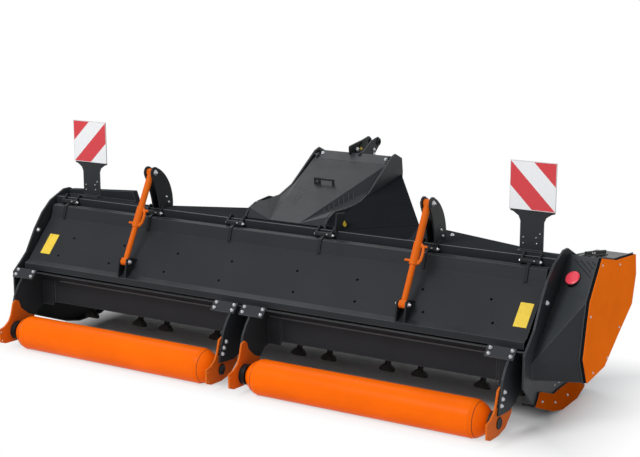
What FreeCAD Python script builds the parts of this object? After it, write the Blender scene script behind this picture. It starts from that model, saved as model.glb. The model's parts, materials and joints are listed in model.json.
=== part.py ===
import FreeCAD
import Part
import math
import os

# Tractor mulcher, rear mounted, 3.6 m working width. Millimetres.
# Working axes: X across the machine (its right is +X), Y forward to the tractor,
# Z up from the ground. The door's hinge line is at Y = 0. All nodes are shifted
# together at the end, so that the origin is the bottom centre of the machine's box.

V = FreeCAD.Vector

# ---- sheet and running gaps
plate_t = 12.0            # end plates, headstock plates, arm webs
sheet_t = 8.0             # hood, deck and rear wall
door_sheet = 6.0
run_gap = 0.05            # radial gap of a shaft in its bore
side_gap = 1.5            # gap beside an eye between two ears

# ---- end plates and hood
half_width = 1840.0       # outer faces of the end plates
headstock_half = 300.0    # outer faces of the headstock plates
deck_z = 914.0
deck_rear_y = 25.0
deck_front_y = 430.0      # front edge of the wide part, beside the drive
deck_wide_x = 905.0       # the wide part ends here and tapers to the right end
deck_end_y = 125.0
deck_taper = (-1083.0, 103.0)
end_box_x = -1243.0       # raised box on the left end
end_box_y = 155.0
end_box_depth = 50.0
end_box_tops = (941.0, 978.0)
gutter_z = 862.0
hood_rear_y = 150.0       # the hood's slope meets the gutter's level
gutter_rear_y = -15.0
hood_front_y = 540.0
hood_knee_y = 480.0
hood_knee_z = 640.0
beam_size = 120.0
beam_z = 590.0            # top of the front beam

# ---- ground line of the skids
skid_line = [(-281.0, 142.0), (0.0, 33.0), (145.0, 0.0), (380.0, 0.0), (500.0, 41.0)]
sole_t = 10.0
sole_width = 80.0
skid_plate_t = 10.0

# ---- rotor
rotor_y = 150.0
rotor_z = 345.0
rotor_tube_r = 95.0
rotor_swing = 300.0
rotor_end_gap = 20.0
rotor_shaft_gap = 5.0     # to the housing's end plate
rotor_shaft_r = 45.0
hammer_rows = 6
hammers_per_row = 6
hammer_pitch = 620.0
hammer_stagger = 232.5
hammer_first_angle = -20.0
hammer_first_x = 62.0
hammer_neck_w = 40.0
hammer_head_w = 120.0
hammer_head_h = 50.0
hammer_t = 50.0
hammer_neck_flare = 22.0
lug_r = 165.0
lug_t = 12.0
lug_half = 32.0

# ---- rear wall below the door
skirt_y = -235.0
skirt_bottom = 207.0
skirt_top = 400.0
ledge_y = -345.0
ledge_z = 462.0
skirt_lip = 55.0

# ---- rollers, two equal modules side by side
roller_r = 109.5
roller_y = -531.0
roller_side_room = 72.0   # from an arm to the end plate
roller_mid_room = 65.0    # from an arm to the machine's middle
roller_plate_t = 10.0
module_half = (half_width - plate_t - roller_side_room - roller_mid_room) / 2
roller_centre = roller_mid_room + module_half
roller_plate_x = module_half - plate_t - roller_plate_t
roller_dome = roller_plate_x - 38.5
roller_seam = roller_dome - 92.0
roller_shaft_r = 25.0
bearing_r = 62.0
bearing_gap = 4.0
cap_width = 168.0
cap_length = 70.0
cap_t = 10.0
cap_centre = (-420.0, 466.0)
cap_x = roller_plate_x - 16.0
cap_shift = -23.0

# ---- door and its hinges
hinge_z = 890.0
mid_hinge = headstock_half + 30.0
hinge_places = [150.0 - half_width, -975.0, -mid_hinge, mid_hinge, 1040.0, half_width - 160.0]
hinge_pin_r = 10.0
barrel_r = 18.0
barrel_half = 46.0
ear_r = 22.0
ear_t = 10.0
strap_w = 22.0
strap_t = 8.0
door_half = half_width - 40.0
door_line = [(-22.0, 874.0), (-46.0, 866.0), (-72.0, 786.0), (-312.0, 540.0),
             (-352.0, 524.0), (-354.0, 486.0), (-330.0, 484.0)]

# ---- door stays
stay_places = {-1: hinge_places[1], 1: hinge_places[4]}
stay_top = (-16.0, 1162.0)
stay_foot = (-310.0, 624.0)
stay_tube_r = 21.0
stay_tube_end = 376.0     # from the top pin to the tube's mouth
stay_rod_r = 17.5
stay_rod_length = 345.0
stay_eye_r = 24.0
stay_eye_t = 2 * stay_tube_r    # the horn's plates clear the tube too
stay_pin_r = 10.0
clamp_start = 242.0       # fork clamp, from the top pin
clamp_r = 25.0
clamp_ring_t = 12.0
clamp_pin_r = 7.0
clamp_pins = (262.0, 352.0)
horn_t = 10.0
horn_tip_r = 38.0

# ---- belt drive housing on the right end
housing_depth = 222.0
housing_x = half_width + housing_depth
cover_t = 20.0
cover_rim = 9.0           # of the flange behind the cover
cover_rim_t = 6.0
housing_wall = 6.0

# ---- headstock and hitch
headstock_front_y = 984.0
band_half = headstock_half - 45.0
lid_pivot = (927.0, 1208.0)
lid_gap = 6.0             # to the headstock plates
lid_t = 6.0
lid_top = (headstock_half - 20.0, 886.0, 1184.0)
lid_foot = (108.0, 70.0, 920.0)
lid_drop = 6.0            # of the lid's edge below the plates' edge
handle_y = 560.0
lid_pin_r = 8.0
input_z = 735.0
nose_front_y = 960.0
input_journal_r = 25.0
input_journal_length = 100.0
input_stub_r = 22.0       # over the splines
input_stub_length = 82.0
input_groove_r = 19.0
input_groove = 6.0
input_proud = 2.0         # of the journal past the gearbox nose
top_link_pin = (1215.0, 1282.0)
top_link_bore_r = 16.1
top_link_gap = 60.0
lower_link_pin = (1090.0, 597.0)
lower_link_bore_r = 18.5
lower_link_gap = 60.0
lower_link_span = 965.0

# ---- warning boards
board_side = 282.0
board_x = half_width - 219.0
board_z = 1292.0
board_y = 144.0
board_t = 5.0
post_width = 145.0
post_t = 6.0


def prism_x(points, x0, x1):
    """Solid between x0 and x1 whose section is the (y, z) polygon."""
    wire = Part.makePolygon([V(x0, y, z) for y, z in points + points[:1]])
    return Part.Face(wire).extrude(V(x1 - x0, 0, 0))


def prism_y(points, y0, y1):
    wire = Part.makePolygon([V(x, y0, z) for x, z in points + points[:1]])
    return Part.Face(wire).extrude(V(0, y1 - y0, 0))


def prism_z(points, z0, z1):
    wire = Part.makePolygon([V(x, y, z0) for x, y in points + points[:1]])
    return Part.Face(wire).extrude(V(0, 0, z1 - z0))


def box(x0, x1, y0, y1, z0, z1):
    return Part.makeBox(x1 - x0, y1 - y0, z1 - z0, V(x0, y0, z0))


def rod_x(y, z, radius, x0, x1):
    return Part.makeCylinder(radius, x1 - x0, V(x0, y, z), V(1, 0, 0))


def rod_y(x, z, radius, y0, y1):
    return Part.makeCylinder(radius, y1 - y0, V(x, y0, z), V(0, 1, 0))


def fuse(shapes):
    whole = shapes[0]
    for shape in shapes[1:]:
        whole = whole.fuse(shape)
    return whole.removeSplitter()


def mirror(shape):
    return shape.mirror(V(0, 0, 0), V(1, 0, 0))


def side_normal(a, b):
    length = math.hypot(b[0] - a[0], b[1] - a[1])
    return (-(b[1] - a[1]) / length, (b[0] - a[0]) / length)


def corner_shift(before, after, distance):
    """Mitred shift of a corner between two edges with the given left normals."""
    scale = distance / (1.0 + before[0] * after[0] + before[1] * after[1])
    return ((before[0] + after[0]) * scale, (before[1] + after[1]) * scale)


def offset_line(points, distance):
    """Open line moved to its left by a distance, corners mitred."""
    normals = [side_normal(a, b) for a, b in zip(points, points[1:])]
    before = normals[:1] + normals
    after = normals + normals[-1:]
    moved = []
    for point, n0, n1 in zip(points, before, after):
        shift = corner_shift(n0, n1, distance)
        moved.append((point[0] + shift[0], point[1] + shift[1]))
    return moved


def offset_ring(points, distance):
    """Closed ring moved to its left by a distance, corners mitred."""
    closed = points[-1:] + points + points[:1]
    normals = [side_normal(a, b) for a, b in zip(closed, closed[1:])]
    moved = []
    for point, n0, n1 in zip(points, normals, normals[1:]):
        shift = corner_shift(n0, n1, distance)
        moved.append((point[0] + shift[0], point[1] + shift[1]))
    return moved


def strip(points, thickness):
    """Section of a folded sheet lying to the left of an open line."""
    return points + offset_line(points, thickness)[::-1]


def turn_about_x(shape, y, z, degrees):
    turned = shape.copy()
    turned.rotate(V(0, y, z), V(1, 0, 0), degrees)
    return turned


# ------------------------------------------------------------------ end plates
def side_plate(side):
    ground = offset_line(skid_line, sole_t)
    outline = [(100, 955), (-40, 900), (-129, 829), (-210, 730), (-300, 586), (-355, 537),
               (-430, 475), (-430, 290)] + ground
    outline += [(600, 200), (640, 460), (640, 780), (600, 850), (300, 890), (160, 955)]
    plate = prism_x(outline, half_width - plate_t, half_width)
    plate = plate.cut(rod_x(rotor_y, rotor_z, rotor_shaft_r + run_gap, 0, half_width))
    return plate if side > 0 else mirror(plate)


def skid(side):
    sole = prism_x(strip(skid_line, sole_t), half_width + skid_plate_t - sole_width,
                   half_width + skid_plate_t)
    top = [(470, 92), (330, 138), (191, 146), (66, 145), (-10, 140), (-100, 172), (-188, 204),
           (-225, 212), (-251, 173)]
    plate = prism_x(skid_line + top, half_width, half_width + skid_plate_t)
    whole = fuse([sole, plate])
    return whole if side > 0 else mirror(whole)


# ------------------------------------------------------------------ hood
inner = half_width - plate_t
hood_line = [(hood_front_y, beam_z - beam_size), (hood_front_y, 600.0),
             (hood_knee_y, hood_knee_z), (hood_rear_y, gutter_z), (gutter_rear_y, gutter_z)]


def hood():
    return prism_x(strip(hood_line, sheet_t), -inner, inner)


def deck_outline():
    """Plan of the deck: widest beside the drive, with a short wide part under the end box."""
    return [(-inner, deck_rear_y), (inner, deck_rear_y), (inner, deck_end_y),
            (deck_wide_x, deck_front_y), (-headstock_half, deck_front_y), deck_taper,
            (end_box_x, deck_taper[1]), (end_box_x, end_box_y), (-inner, end_box_y)]


def end_box():
    """Raised box in front of the deck's left end, open to the front."""
    low, high = end_box_tops
    outline = [(-inner, gutter_z - 60.0), (end_box_x, gutter_z - 60.0), (end_box_x, deck_z - 12.0),
               (end_box_x - 29.0, high), (-inner, low)]
    front = end_box_y + end_box_depth
    outer = prism_y(outline, end_box_y, front)
    return outer.cut(prism_y(offset_ring(outline, sheet_t), end_box_y + sheet_t, front))


def deck_beam():
    """Box on the hood: top plate, rear step, front fascia and the end box."""
    outer = prism_z(deck_outline(), gutter_z - 300.0, deck_z)
    hollow = prism_z(offset_ring(deck_outline(), sheet_t), gutter_z - 300.0, deck_z - sheet_t)
    below = prism_x([(hood_front_y + 1, 0), (hood_front_y + 1, 600.0)] + hood_line[2:]
                    + [(gutter_rear_y, 0)], -inner, inner)
    return fuse([outer.cut(hollow), end_box()]).cut(below)


def front_beam():
    y0 = hood_front_y
    outer = box(-inner, inner, y0, y0 + beam_size, beam_z - beam_size, beam_z)
    bore = box(-inner, inner, y0 + sheet_t, y0 + beam_size - sheet_t,
               beam_z - beam_size + sheet_t, beam_z - sheet_t)
    return outer.cut(bore)


def rear_wall():
    line = [(skirt_y + skirt_lip, skirt_bottom), (skirt_y, skirt_bottom), (skirt_y, skirt_top),
            (ledge_y, ledge_z)]
    return prism_x(strip(line[::-1], sheet_t), -inner, inner)


def front_flaps():
    rod_z = beam_z - beam_size - 12.0
    rod_front = hood_front_y + beam_size / 2
    parts = [rod_x(rod_front, rod_z, 10.0, -inner, inner)]
    count = 24
    pitch = 2 * inner / count
    for index in range(count):
        x0 = -inner + index * pitch + 4.0
        parts.append(box(x0, x0 + pitch - 8.0, rod_front - 4.0, rod_front + 4.0, 85.0, rod_z))
    return fuse(parts)


# ------------------------------------------------------------------ rotor
def hammer(angle, x):
    """One mushroom hammer and its two lugs, pointing along +Z, then turned about X."""
    head_low = rotor_swing - hammer_head_h
    half = hammer_head_w / 2
    neck = hammer_neck_w / 2
    outline = [(-neck, rotor_tube_r), (neck, rotor_tube_r), (neck, head_low - hammer_neck_flare),
               (half - 12, head_low), (half, head_low + 12), (half - 10, rotor_swing - 8),
               (-half + 10, rotor_swing - 8), (-half, head_low + 12), (-half + 12, head_low),
               (-neck, head_low - hammer_neck_flare)]
    head = prism_y(outline, -hammer_t / 2, hammer_t / 2)
    lug = prism_x([(-lug_half - 8, rotor_tube_r - 14), (lug_half + 8, rotor_tube_r - 14),
                   (lug_half * 0.7, lug_r + 20), (-lug_half * 0.7, lug_r + 20)], neck + 2,
                  neck + 2 + lug_t)
    reach = neck + 2 + lug_t + 8
    pin = box(-reach, reach, -11, 11, lug_r - 11, lug_r + 11)
    piece = fuse([head, lug, mirror(lug), pin])
    piece.translate(V(x, rotor_y, rotor_z))
    return turn_about_x(piece, rotor_y, rotor_z, angle)


def rotor():
    half = inner - rotor_end_gap
    body = rod_x(rotor_y, rotor_z, rotor_tube_r, -half, half)
    shaft = rod_x(rotor_y, rotor_z, rotor_shaft_r, -half_width - 30, half_width - rotor_shaft_gap)
    pieces = [body, shaft]
    first = -(hammers_per_row - 1) * hammer_pitch / 2
    for row in range(hammer_rows):
        shift = (row * hammer_stagger) % hammer_pitch - hammer_pitch / 2 + hammer_first_x
        for index in range(hammers_per_row):
            x = first + index * hammer_pitch + shift
            if abs(x) > half - hammer_head_w / 2:
                continue
            pieces.append(hammer(hammer_first_angle + row * 360.0 / hammer_rows, x))
    return body.multiFuse(pieces[1:])


def rotor_bearing():
    """Flanged bearing on the left end plate."""
    flange = rod_x(rotor_y, rotor_z, 130.0, -half_width - 14, -half_width)
    hub = rod_x(rotor_y, rotor_z, 80.0, -half_width - 48, -half_width)
    bore = rod_x(rotor_y, rotor_z, rotor_shaft_r + run_gap, -half_width - 40, -half_width)
    return fuse([flange, hub]).cut(bore)


# ------------------------------------------------------------------ rollers
def roller(side):
    centre = side * roller_centre
    tube = rod_x(roller_y, roller_r, roller_r, centre - roller_seam, centre + roller_seam)
    depth = roller_dome - roller_seam
    start = V(0, 0, 0)
    mid = V(depth * 0.72, roller_r - 34.0, 0)
    profile = [Part.LineSegment(start, V(0, roller_r, 0)).toShape(),
               Part.Arc(V(0, roller_r, 0), mid, V(depth, 45.0, 0)).toShape(),
               Part.LineSegment(V(depth, 45.0, 0), V(depth, 0, 0)).toShape(),
               Part.LineSegment(V(depth, 0, 0), start).toShape()]
    dome = Part.Face(Part.Wire(profile)).revolve(V(0, 0, 0), V(1, 0, 0), 360)
    right = dome.copy()
    right.translate(V(centre + roller_seam, roller_y, roller_r))
    left = mirror(dome)
    left.translate(V(centre - roller_seam, roller_y, roller_r))
    shaft = rod_x(roller_y, roller_r, roller_shaft_r, centre - roller_plate_x - 4,
                  centre + roller_plate_x + 4)
    return fuse([tube, left, right, shaft])


def roller_bearings(side):
    """Round bearing housings between each dome and its plate."""
    pieces = []
    for end in (-1, 1):
        x_in = side * roller_centre + end * (roller_dome + bearing_gap)
        x_out = side * roller_centre + end * roller_plate_x
        x0, x1 = sorted((x_in, x_out))
        hub = rod_x(roller_y, roller_r, bearing_r, x0, x1)
        pieces.append(hub.cut(rod_x(roller_y, roller_r, roller_shaft_r + run_gap, x0, x1)))
    return Part.makeCompound(pieces)


roller_plate_line = [(-520, 312), (-497, 297), (-480, 249), (-415, 195), (-355, 170), (-362, 118),
                     (-440, 55), (-534, 38), (-640, 43), (-685, 60), (-689, 147), (-639, 158),
                     (-597, 186), (-575, 224), (-551, 300)]


def roller_plates(side):
    pieces = []
    for end in (-1, 1):
        x0 = side * roller_centre + end * roller_plate_x
        x0, x1 = sorted((x0, x0 + end * roller_plate_t))
        plate = prism_x(roller_plate_line, x0, x1)
        plate = plate.cut(rod_x(roller_y, roller_r, roller_shaft_r + run_gap, x0, x1))
        for y, z in ((-671, 126), (-665, 67)):
            plate = plate.cut(rod_x(y, z, 8.0, x0, x1))
        pieces.append(plate)
    return Part.makeCompound(pieces)


def cap_box(x0, x1):
    """Sloping clamp plate on the top of an arm, facing up and to the rear."""
    y, z = cap_centre
    plate = box(x0, x1, y - cap_length / 2, y + cap_length / 2, z, z + cap_t)
    return turn_about_x(plate, y, z, 45)


def roller_arms(side):
    pieces = []
    half = cap_length / 2 * math.sqrt(0.5)
    upper = (cap_centre[0] + half, cap_centre[1] + half)
    lower = (cap_centre[0] - half, cap_centre[1] - half)
    outline = [upper, lower, (-480, 405), (-520, 345), (-545, 267), (-566, 160), (-422, 148),
               (-332, 172), (-288, 211), (skirt_y, 225), (skirt_y, skirt_top), (ledge_y, ledge_z)]
    for end in (-1, 1):
        x0 = side * roller_centre + end * (roller_plate_x + roller_plate_t)
        x0, x1 = sorted((x0, x0 + end * plate_t))
        web = prism_x(outline, x0, x1)
        cap_mid = side * roller_centre + end * cap_x + cap_shift
        cap = cap_box(cap_mid - cap_width / 2, cap_mid + cap_width / 2)
        pad = box(cap_mid - cap_width / 2, cap_mid + cap_width / 2, skirt_y - 10, skirt_y,
                  skirt_bottom + 15, skirt_top - 12)
        pieces.append(fuse([web, cap, pad]))
    return Part.makeCompound(pieces)


# ------------------------------------------------------------------ door
def door():
    return prism_x(strip(door_line, door_sheet), -door_half, door_half)


def door_straps():
    pieces = []
    leg_line = door_line[:3]
    leg_top = offset_line(leg_line, -strap_t)
    leg = leg_line + leg_top[::-1]
    for x in hinge_places:
        barrel = rod_x(0, hinge_z, barrel_r, x - barrel_half, x + barrel_half)
        web = prism_x([(0, hinge_z - barrel_r / 2), leg_line[0], leg_top[0],
                       (0, hinge_z + barrel_r / 2)], x - strap_w / 2, x + strap_w / 2)
        strap = fuse([barrel, web, prism_x(leg, x - strap_w / 2, x + strap_w / 2)])
        pieces.append(strap.cut(rod_x(0, hinge_z, hinge_pin_r + run_gap, x - 90, x + 90)))
    return Part.makeCompound(pieces)


def hinge_ears():
    pieces = []
    nose = ear_r * 0.7
    outline = [(0, hinge_z - ear_r), (deck_rear_y, hinge_z - ear_r), (deck_rear_y, deck_z),
               (58, deck_z), (58, deck_z + 14), (36, deck_z + 26), (0, hinge_z + ear_r),
               (-nose, hinge_z + nose), (-ear_r, hinge_z), (-nose, hinge_z - nose)]
    for x in hinge_places:
        inside = barrel_half + side_gap
        pair = [rod_x(0, hinge_z, hinge_pin_r, x - inside - ear_t, x + inside + ear_t)]
        for x0 in (x - inside - ear_t, x + inside):
            pair.append(prism_x(outline, x0, x0 + ear_t))
        pieces.append(fuse(pair))
    return Part.makeCompound(pieces)


# ------------------------------------------------------------------ door stays
stay_dy = stay_foot[0] - stay_top[0]
stay_dz = stay_foot[1] - stay_top[1]
stay_length = math.hypot(stay_dy, stay_dz)


def along_stay(distance):
    """Point on the stay's line, measured from its top pin."""
    share = distance / stay_length
    return (stay_top[0] + stay_dy * share, stay_top[1] + stay_dz * share)


def stay_rod(side, radius, start, end):
    y, z = along_stay(start)
    return Part.makeCylinder(radius, end - start, V(stay_places[side], y, z),
                             V(0, stay_dy, stay_dz))


def clamp_ring(side):
    """Flat ring in the plane of the stay and the machine's width, open to the right."""
    x = stay_places[side]
    outer = [(-clamp_r, 246), (30, 246), (46, 264), (52, 300), (48, 346), (34, 370), (-clamp_r, 370)]
    inner_ring = [(clamp_r, 262), (34, 274), (38, 302), (35, 338), (clamp_r, 354)]

    def slab(points, thick):
        flat = [V(x + across, 0, -down) for across, down in points + points[:1]]
        face = Part.Face(Part.makePolygon(flat)).extrude(V(0, thick, 0))
        face.translate(V(0, -thick / 2, 0))
        face.rotate(V(0, 0, 0), V(1, 0, 0), -math.degrees(math.atan2(-stay_dy, -stay_dz)))
        face.translate(V(0, *stay_top))
        return face

    return slab(outer, clamp_ring_t).cut(slab(inner_ring, 3 * clamp_ring_t))


def clamp_pin(side, distance, x0, x1):
    y, z = along_stay(distance)
    return rod_x(y, z, clamp_pin_r, stay_places[side] + x0, stay_places[side] + x1)


def stay_tube(side):
    """Upper tube with its eye and the fork clamp round its mouth."""
    x = stay_places[side]
    eye = rod_x(stay_top[0], stay_top[1], stay_eye_r, x - stay_eye_t / 2, x + stay_eye_t / 2)
    tube = stay_rod(side, stay_tube_r, 0, stay_tube_end)
    clamp = stay_rod(side, clamp_r, clamp_start, stay_tube_end)
    upper = clamp_pin(side, clamp_pins[0], 0, 62)
    lower = clamp_pin(side, clamp_pins[1], -58, 0)
    whole = fuse([eye, tube, clamp, clamp_ring(side), upper, lower])
    whole = whole.cut(rod_x(stay_top[0], stay_top[1], stay_pin_r + run_gap, x - 60, x + 60))
    return whole.cut(stay_rod(side, stay_rod_r + run_gap, stay_eye_r + 8, stay_tube_end + 60))


def stay_lower(side):
    x = stay_places[side]
    start = stay_length - stay_rod_length
    rod = stay_rod(side, stay_rod_r, start, stay_length - stay_pin_r)
    eye = rod_x(stay_foot[0], stay_foot[1], stay_eye_r, x - stay_eye_t / 2, x + stay_eye_t / 2)
    bore = rod_x(stay_foot[0], stay_foot[1], stay_pin_r, x - 60, x + 60)
    return fuse([rod, eye]).cut(bore)


def on_door_panel(y):
    """Point of the door's long outer face at a given Y."""
    (y0, z0), (y1, z1) = door_line[2:4]
    return (y, z0 + (z1 - z0) * (y - y0) / (y1 - y0))


def stay_brackets():
    """Two ears on the door beside each stay's lower eye."""
    pieces = []
    y, z = stay_foot
    outline = [on_door_panel(y + 84), door_line[3], door_line[4], (y - 43, z - 64), (y - 24, z + 22),
               (y + 10, z + 28)]
    for x in stay_places.values():
        inside = stay_eye_t / 2 + 3.0
        for x0 in (x - inside - ear_t, x + inside):
            pieces.append(prism_x(outline, x0, x0 + ear_t))
    return Part.makeCompound(pieces)


def horn(side):
    """Curved pair of plates that carries the top of a door stay."""
    y, z = stay_top
    inside = stay_eye_t / 2 + side_gap
    outer_low, outer_mid, outer_top = (168, deck_z), (128, 1085), (20, 1186)
    inner_low, inner_mid, inner_top = (30, deck_z), (4, 1020), (-50, 1143)

    def plate(x0):
        points = [V(x0, *inner_low), V(x0, *outer_low), V(x0, *outer_top), V(x0, *inner_top)]
        edges = [Part.LineSegment(points[0], points[1]).toShape(),
                 Part.Arc(points[1], V(x0, *outer_mid), points[2]).toShape(),
                 Part.LineSegment(points[2], points[3]).toShape(),
                 Part.Arc(points[3], V(x0, *inner_mid), points[0]).toShape()]
        blade = Part.Face(Part.Wire(edges)).extrude(V(horn_t, 0, 0))
        return fuse([blade, rod_x(y, z, horn_tip_r, x0, x0 + horn_t)])

    x = stay_places[side]
    web = box(x - inside, x + inside, 110, 126, deck_z, 1040)
    pin = rod_x(y, z, stay_pin_r, x - inside - horn_t, x + inside + horn_t)
    return fuse([plate(x - inside - horn_t), plate(x + inside), web, pin])


# ------------------------------------------------------------------ belt drive
cover_ring = [(56, 944), (-113, 737), (-148, 600), (-186, 425), (-112, 272), (165, 294),
              (395, 438), (602, 560), (653, 730), (632, 852), (300, 885)]
wall_ring = [(181, 915), (42, 744), (-330, 406), (-326, 356), (-316, 306), (165, 294),
             (395, 438), (602, 560), (653, 730), (632, 852), (300, 885)]


def ring_solid(near, far, x0, x1):
    """Solid between two rings of equal count at x0 and x1; the sides are triangles."""
    a = [V(x0, y, z) for y, z in near]
    b = [V(x1, y, z) for y, z in far]
    faces = [Part.Face(Part.makePolygon(a + a[:1])), Part.Face(Part.makePolygon(b + b[:1]))]
    for i in range(len(a)):
        j = (i + 1) % len(a)
        if i == 1:
            corners = [(a[i], b[i], a[j]), (b[i], b[j], a[j])]
        else:
            corners = [(a[i], b[i], b[j]), (a[i], b[j], a[j])]
        faces += [Part.Face(Part.makePolygon(list(c) + [c[0]])) for c in corners]
    return Part.makeSolid(Part.makeShell(faces))


def belt_housing():
    outer = ring_solid(wall_ring, cover_ring, half_width, housing_x)
    hollow = ring_solid(offset_ring(wall_ring, housing_wall), offset_ring(cover_ring, housing_wall),
                        half_width, housing_x)
    rim = prism_x(offset_ring(cover_ring, -cover_rim), housing_x - cover_rim_t, housing_x)
    mouth = prism_x(offset_ring(cover_ring, 4 * housing_wall), housing_x - cover_rim_t, housing_x)
    return fuse([outer.cut(hollow), rim.cut(mouth)])


def belt_cover():
    return prism_x(cover_ring, housing_x, housing_x + cover_t)


# ------------------------------------------------------------------ headstock
headstock_edge = [(60.0, deck_z), (80.0, 950.0), (110.0, 976.0), (187.0, 1002.0), (295.0, 996.0),
                  (478.0, 1002.0), (628.0, 1050.0), (926.0, 1236.0)]


def headstock_plate(side):
    slope = (hood_knee_z - gutter_z) / (hood_knee_y - hood_rear_y)
    slope_z = gutter_z + slope * (deck_front_y - hood_rear_y)
    outline = headstock_edge + [(981, 1251), (1073, 1211), (1088, 1115), (1040, 700), (1040, beam_z),
                                (hood_front_y, beam_z), (hood_front_y, 600),
                                (hood_knee_y, hood_knee_z), (deck_front_y, slope_z),
                                (deck_front_y, deck_z)]
    plate = prism_x(outline, headstock_half - plate_t, headstock_half)
    return plate if side > 0 else mirror(plate)


def flares():
    """Sloping sheet over the drive, from the headstock down to the right half of the deck."""
    x0 = headstock_half
    rear, front, top = V(x0 + 104, 60, deck_z), V(x0 + 460, deck_front_y, deck_z), V(x0, 1069, 1093)
    normal = (front - rear).cross(top - rear)
    foot_z = rear.z - (normal.x * (x0 - rear.x)) / normal.z
    corners = [V(x0, rear.y, foot_z), rear, front, top]
    return Part.Face(Part.makePolygon(corners + corners[:1])).extrude(V(0, 0, sheet_t))


def headstock_top():
    half = headstock_half - plate_t
    band = prism_x(strip([(976, 1233), (897, 1190)], sheet_t), -band_half, band_half)
    wall = box(-half, half, headstock_front_y - sheet_t, headstock_front_y, 905, 1233)
    return fuse([band, wall])


def headstock_floor():
    half = headstock_half - plate_t
    return box(-half, half, hood_front_y, 1040, beam_z, beam_z + sheet_t)


def gearbox():
    y0, y1 = 620.0, nose_front_y - 60.0
    z0 = beam_z + sheet_t
    block = box(-140, 140, y0, y1, z0, z0 + 270)
    nose = rod_y(0, input_z, 75.0, y1, nose_front_y)
    bore = rod_y(0, input_z, input_journal_r + run_gap, nose_front_y - input_journal_length,
                 nose_front_y)
    return fuse([block, nose]).cut(bore)


def input_shaft():
    """Journal in the gearbox nose, a relief groove and the splined stub."""
    groove_y = nose_front_y + input_proud
    stub_y = groove_y + input_groove
    journal = rod_y(0, input_z, input_journal_r, groove_y - input_journal_length, groove_y)
    groove = rod_y(0, input_z, input_groove_r, groove_y, stub_y)
    stub = rod_y(0, input_z, input_stub_r, stub_y, stub_y + input_stub_length)
    return fuse([journal, groove, stub])


def drive_tube():
    return rod_x(560, 760, 55.0, headstock_half, inner)


def top_link_plates():
    y, z = top_link_pin
    outline = [(headstock_front_y, 1130), (headstock_front_y, 1228), (1120, 1300), (y, z + 34),
               (y + 30, z + 16), (y + 34, z), (y, z - 36), (1120, 1170)]
    plates = []
    for x0 in (top_link_gap / 2, -top_link_gap / 2 - plate_t):
        plate = prism_x(outline, x0, x0 + plate_t)
        plates.append(plate.cut(rod_x(y, z, top_link_bore_r, x0, x0 + plate_t)))
    bridge = box(-top_link_gap / 2, top_link_gap / 2, 1040, 1056, 1180, 1230)
    return fuse(plates + [bridge])


def lower_link(side):
    y, z = lower_link_pin
    front = hood_front_y + beam_size
    outline = [(front, beam_z - beam_size), (front, beam_z), (760, 680), (1000, 672),
               (y + 20, z + 40), (y + 45, z), (y + 20, z - 40), (900, 520)]
    mid = side * lower_link_span / 2
    plates = []
    for x0 in (mid - lower_link_gap / 2 - plate_t, mid + lower_link_gap / 2):
        plate = prism_x(outline, x0, x0 + plate_t)
        plates.append(plate.cut(rod_x(y, z, lower_link_bore_r, x0, x0 + plate_t)))
    bridge = box(mid - lower_link_gap / 2, mid + lower_link_gap / 2, front, front + 12,
                 beam_z - beam_size, beam_z)
    return fuse(plates + [bridge])


def lid():
    """Lid of a flat middle panel and two folded sides that follow the plates' edge."""
    half = headstock_half - plate_t - lid_gap
    top_x, top_y, top_z = lid_top
    foot_x, foot_y, foot_z = lid_foot
    edge = [(y, z - lid_drop) for y, z in headstock_edge[6:1:-1]] + [(foot_y + 3, foot_z + 1)]
    panels = []
    middle = [V(-top_x, top_y, top_z), V(top_x, top_y, top_z), V(foot_x, foot_y, foot_z),
              V(-foot_x, foot_y, foot_z)]
    triangles = [middle]
    for side in (-1, 1):
        fold = V(side * foot_x, foot_y, foot_z)
        outer = [V(side * top_x, top_y, top_z)] + [V(side * half, y, z) for y, z in edge]
        triangles += [[fold, a, b] for a, b in zip(outer, outer[1:])]
    for corners in triangles:
        face = Part.Face(Part.makePolygon(corners + corners[:1]))
        panels.append(face.extrude(V(0, 0, lid_t)))
    y, z = lid_pivot
    for x0 in (-band_half - 18, band_half + 6):
        arm = prism_x([(y - 45, z - 27), (y - 45, z - 18), (y, z + 14), (y, z - 14)], x0, x0 + 12)
        panels += [arm, rod_x(y, z, 14, x0, x0 + 12)]
    whole = fuse(panels)
    return whole.cut(rod_x(y, z, lid_pin_r + run_gap, -400, 400))


def lid_pins():
    y, z = lid_pivot
    pin = rod_x(y, z, lid_pin_r, band_half + 8, headstock_half - plate_t)
    return Part.makeCompound([pin, mirror(pin)])


def lid_handle():
    """Bar handle on the lid's middle panel; its left leg is a plate with a round hole."""
    slope = (lid_top[2] - lid_foot[2]) / (lid_top[1] - lid_foot[1])
    y = handle_y
    z = lid_foot[2] + slope * (y - lid_foot[1]) + lid_t
    bar = box(-70, 70, y - 7, y + 7, z + 26, z + 38)
    plate = box(-78, -34, y - 7, y + 7, z - 6, z + 40).cut(rod_y(-56, z + 20, 9, y - 9, y + 9))
    leg = box(58, 70, y - 7, y + 7, z - 6, z + 30)
    slab = prism_x([(y - 60, z - 300), (y + 60, z - 300), (y + 60, z + 60 * slope),
                    (y - 60, z - 60 * slope)], -100, 100)
    return fuse([bar, plate, leg]).cut(slab)


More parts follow.
